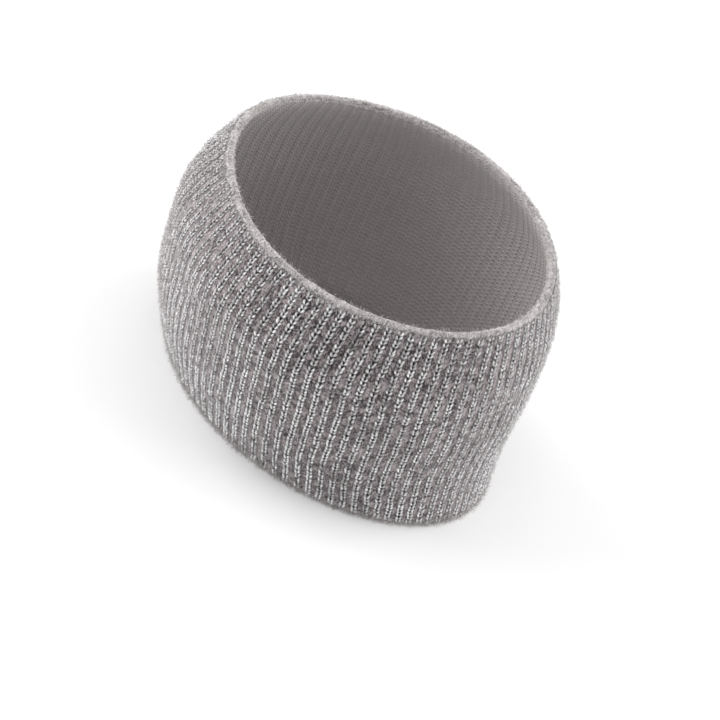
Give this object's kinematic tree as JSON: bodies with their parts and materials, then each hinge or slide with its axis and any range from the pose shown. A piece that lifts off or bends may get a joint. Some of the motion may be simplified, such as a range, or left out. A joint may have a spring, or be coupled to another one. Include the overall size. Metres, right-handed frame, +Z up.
{
  "type": "ear warmer headband",
  "caption": "Grey rib-knit ear warmer headband, a tall closed ring with a turned upper edge and a plain lower hem that it stands on.",
  "frame": {"origin": "middle of the footprint, on the face that the lower edge rests on", "axes": "+Z up along the axis of the ring, -Y towards the wearer's face, +X towards the wearer's left"},
  "size_m": [0.168, 0.1911, 0.116],
  "materials": {
    "rib_knit": "brushed grey rib knit with silver stitch columns",
    "plain_knit": "brushed grey plain knit"
  },
  "bodies": {
    "root": {"band": "rib_knit", "top_edge": "plain_knit", "bottom_edge": "plain_knit"}
  },
  "joints": []
}
